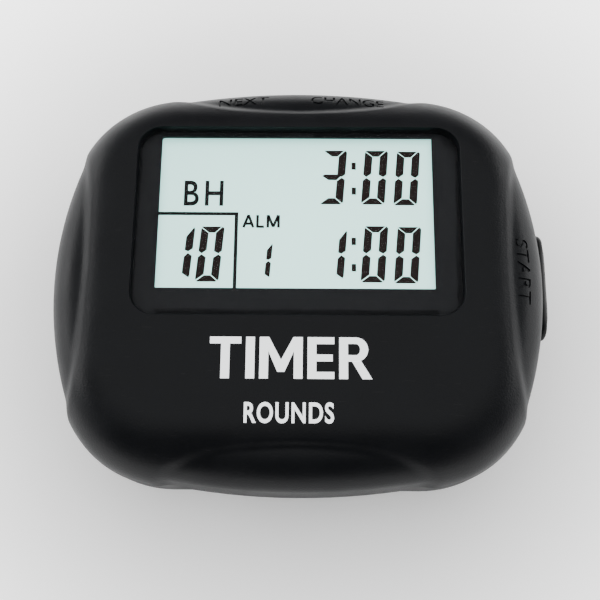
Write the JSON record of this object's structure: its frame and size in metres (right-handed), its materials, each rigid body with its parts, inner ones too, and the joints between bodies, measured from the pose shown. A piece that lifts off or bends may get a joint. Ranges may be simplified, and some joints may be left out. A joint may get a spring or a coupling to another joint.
{
  "type": "gym round timer",
  "caption": "Pocket-size round timer for gym training: black moulded case with rounded corners, large digit display, three edge buttons and a sprung belt clip on its back.",
  "frame": {"origin": "on the outer face of the belt clip, under the middle of the case: the face that the timer lies on", "axes": "+X to the right across the display, +Y to the top edge with its two buttons, +Z out of the display"},
  "size_m": [0.0671, 0.0576, 0.0236],
  "materials": {
    "case_front": "fine moulded satin black",
    "case_rear": "fine moulded satin black",
    "button_black": "smooth satin black",
    "window_clear": "clear polished acrylic",
    "window_print": "black screen print",
    "tape": "double-sided tape",
    "lcd_glass": "display glass",
    "lcd_film": "polarising film",
    "lcd_back": "pale green-grey reflector",
    "frame_white": "moulded natural",
    "zebra": "layered silicone strip",
    "board_green": "solder mask",
    "epoxy": "potting resin",
    "tin": "tinned",
    "ceramic_part": "fired ceramic",
    "screw_steel": "zinc plated",
    "spring_steel": "nickel plated wire",
    "contact_plate": "nickel plated strip",
    "switch_body": "moulded nylon",
    "buzzer_brass": "rolled brass",
    "buzzer_white": "fired and silvered",
    "cell_can": "nickel plated",
    "cell_core": "packed powder",
    "cell_jacket": "printed film",
    "motor_steel": "drawn can",
    "weight_brass": "sintered",
    "lead_red": "pvc sleeve",
    "lead_black": "pvc sleeve",
    "clip_black": "smooth satin black"
  },
  "bodies": {
    "case": {"front_case": "case_front", "rear_case": "case_rear", "display_window": "window_clear", "window_border": "window_print", "window_adhesive": "tape", "lcd_front_film": "lcd_film", "lcd_front_glass": "lcd_glass", "lcd_rear_glass": "lcd_glass", "lcd_reflector": "lcd_back", "lcd_frame": "frame_white", "zebra_strip": "zebra", "main_board": "board_green", "chip_cover": "epoxy", "crystal": "tin", "board_components": "ceramic_part", "board_screws": "screw_steel", "case_screws": "screw_steel", "start_switch": "switch_body", "next_switch": "switch_body", "change_switch": "switch_body", "buzzer_disc": "buzzer_brass", "buzzer_ceramic": "buzzer_white", "buzzer_springs": "spring_steel", "battery_can": "cell_can", "battery_cap": "cell_can", "battery_core": "cell_core", "battery_jacket": "cell_jacket", "battery_spring": "spring_steel", "battery_minus_contact": "contact_plate", "battery_plus_contact": "contact_plate", "motor_can": "motor_steel", "motor_wire_red": "lead_red", "motor_wire_black": "lead_black", "clip_pin": "screw_steel", "clip_spring": "spring_steel"},
    "start_button": {"start_button": "button_black", "start_plunger": "frame_white"},
    "next_button": {"next_button": "button_black", "next_plunger": "frame_white"},
    "change_button": {"change_button": "button_black", "change_plunger": "frame_white"},
    "motor_rotor": {"motor_shaft": "spring_steel", "eccentric_weight": "weight_brass"},
    "battery_door": {"battery_door": "case_rear"},
    "belt_clip": {"belt_clip": "clip_black"}
  },
  "joints": [
    {"name": "start_press", "type": "slide", "parent": "case", "child": "start_button", "axis": [-1, 0, 0], "range_m": [0, 0.00045], "stiffness_N_per_m": 800, "springref_m": -0.0005},
    {"name": "next_press", "type": "slide", "parent": "case", "child": "next_button", "axis": [0, -1, 0], "range_m": [0, 0.00045], "stiffness_N_per_m": 800, "springref_m": -0.0005},
    {"name": "change_press", "type": "slide", "parent": "case", "child": "change_button", "axis": [0, -1, 0], "range_m": [0, 0.00045], "stiffness_N_per_m": 800, "springref_m": -0.0005},
    {"name": "clip_open", "type": "hinge", "parent": "case", "child": "belt_clip", "pos_m": [0, 0.014, 0.0045], "axis": [1, 0, 0], "range_deg": [0, 24], "stiffness_Nm_per_rad": 0.1, "springref_deg": -28.65, "deforming": ["clip_spring"]},
    {"name": "door_slide", "type": "slide", "parent": "case", "child": "battery_door", "axis": [0, -1, 0], "range_m": [0, 0.024]},
    {"name": "motor_spin", "type": "hinge", "parent": "case", "child": "motor_rotor", "pos_m": [0.006, -0.0231, 0.0136], "axis": [1, 0, 0], "continuous": true}
  ]
}
